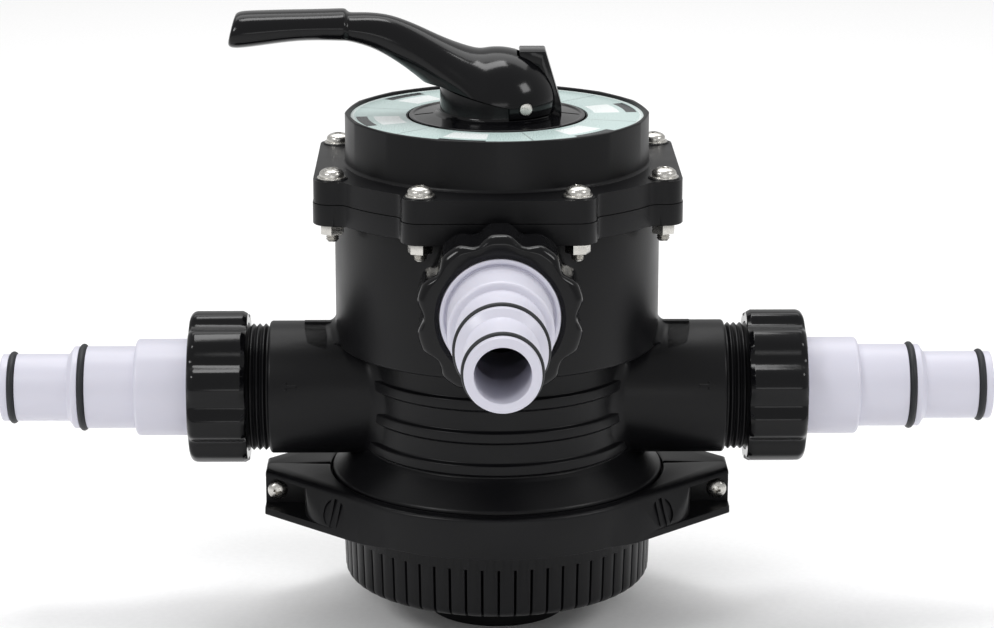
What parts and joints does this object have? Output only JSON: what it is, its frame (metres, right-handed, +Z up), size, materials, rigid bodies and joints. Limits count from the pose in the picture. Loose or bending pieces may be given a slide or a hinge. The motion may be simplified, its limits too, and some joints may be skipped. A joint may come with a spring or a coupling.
{
  "type": "multiport valve",
  "caption": "Six-way top-mount multiport valve for a pool sand filter: black body with three union ports and white stepped hose tails, eight-screw cover, lever-operated rotor, tank clamp and slotted diffuser.",
  "frame": {"origin": "centre of the standpipe socket's bottom mouth", "axes": "+Z up along the selector axis, -Y towards the front port, -X towards the end of the lever at rest"},
  "size_m": [0.4696, 0.2995, 0.2891],
  "materials": {
    "body_plastic": "satin",
    "nut_plastic": "gloss",
    "lever_plastic": "gloss",
    "rotor_plastic": "matte",
    "washer_plastic": "matte",
    "tail_plastic": "satin",
    "seal_rubber": "matte",
    "stainless": "brushed",
    "label_film": "satin"
  },
  "bodies": {
    "housing": {"valve_body": "body_plastic", "spider_gasket": "seal_rubber", "spring_washer": "washer_plastic", "cover_o_ring": "seal_rubber", "top_cover": "body_plastic", "position_label": "label_film", "cover_screws": "stainless", "cover_washers": "stainless", "cover_nuts": "stainless", "hose_tail_left": "tail_plastic", "hose_tail_right": "tail_plastic", "hose_tail_front": "tail_plastic", "union_o_ring_left": "seal_rubber", "union_o_ring_right": "seal_rubber", "union_o_ring_front": "seal_rubber", "hose_o_rings_left": "seal_rubber", "hose_o_rings_right": "seal_rubber", "hose_o_rings_front": "seal_rubber", "clamp_front_half": "body_plastic", "clamp_rear_half": "body_plastic", "clamp_screws": "stainless", "clamp_nuts": "stainless", "tank_seal_ring": "seal_rubber", "diffuser": "body_plastic", "standpipe_o_ring": "seal_rubber"},
    "selector": {"index_collar": "lever_plastic", "rotor_spring": "stainless"},
    "diverter": {"rotor": "rotor_plastic", "stem_o_rings": "seal_rubber", "handle_pin": "stainless"},
    "lever": {"handle": "lever_plastic"},
    "nut_left": {"union_nut_left": "nut_plastic"},
    "nut_right": {"union_nut_right": "nut_plastic"},
    "nut_front": {"union_nut_front": "nut_plastic"}
  },
  "joints": [
    {"name": "selector_turn", "type": "hinge", "parent": "housing", "child": "selector", "pos_m": [0, 0, 0.2392], "axis": [0, 0, 1], "continuous": true},
    {"name": "rotor_lift", "type": "slide", "parent": "selector", "child": "diverter", "axis": [0, 0, 1], "range_m": [0, 0.00687], "stiffness_N_per_m": 4000, "springref_m": -0.01, "deforming": ["rotor_spring"]},
    {"name": "handle_press", "type": "hinge", "parent": "diverter", "child": "lever", "pos_m": [0.0129, 0, 0.248], "axis": [0, -1, 0], "range_deg": [0, 10]},
    {"name": "union_nut_left_turn", "type": "hinge", "parent": "housing", "child": "nut_left", "pos_m": [-0.135, 0, 0.1096], "axis": [-1, 0, 0], "continuous": true},
    {"name": "union_nut_right_turn", "type": "hinge", "parent": "housing", "child": "nut_right", "pos_m": [0.135, 0, 0.1096], "axis": [1, 0, 0], "continuous": true},
    {"name": "union_nut_front_turn", "type": "hinge", "parent": "housing", "child": "nut_front", "pos_m": [0, -0.1129, 0.1756], "axis": [0, -1, 0], "continuous": true}
  ],
  "couplings": [
    {"joint": "handle_press", "follows": "rotor_lift", "rad_per_m": 25.381}
  ]
}
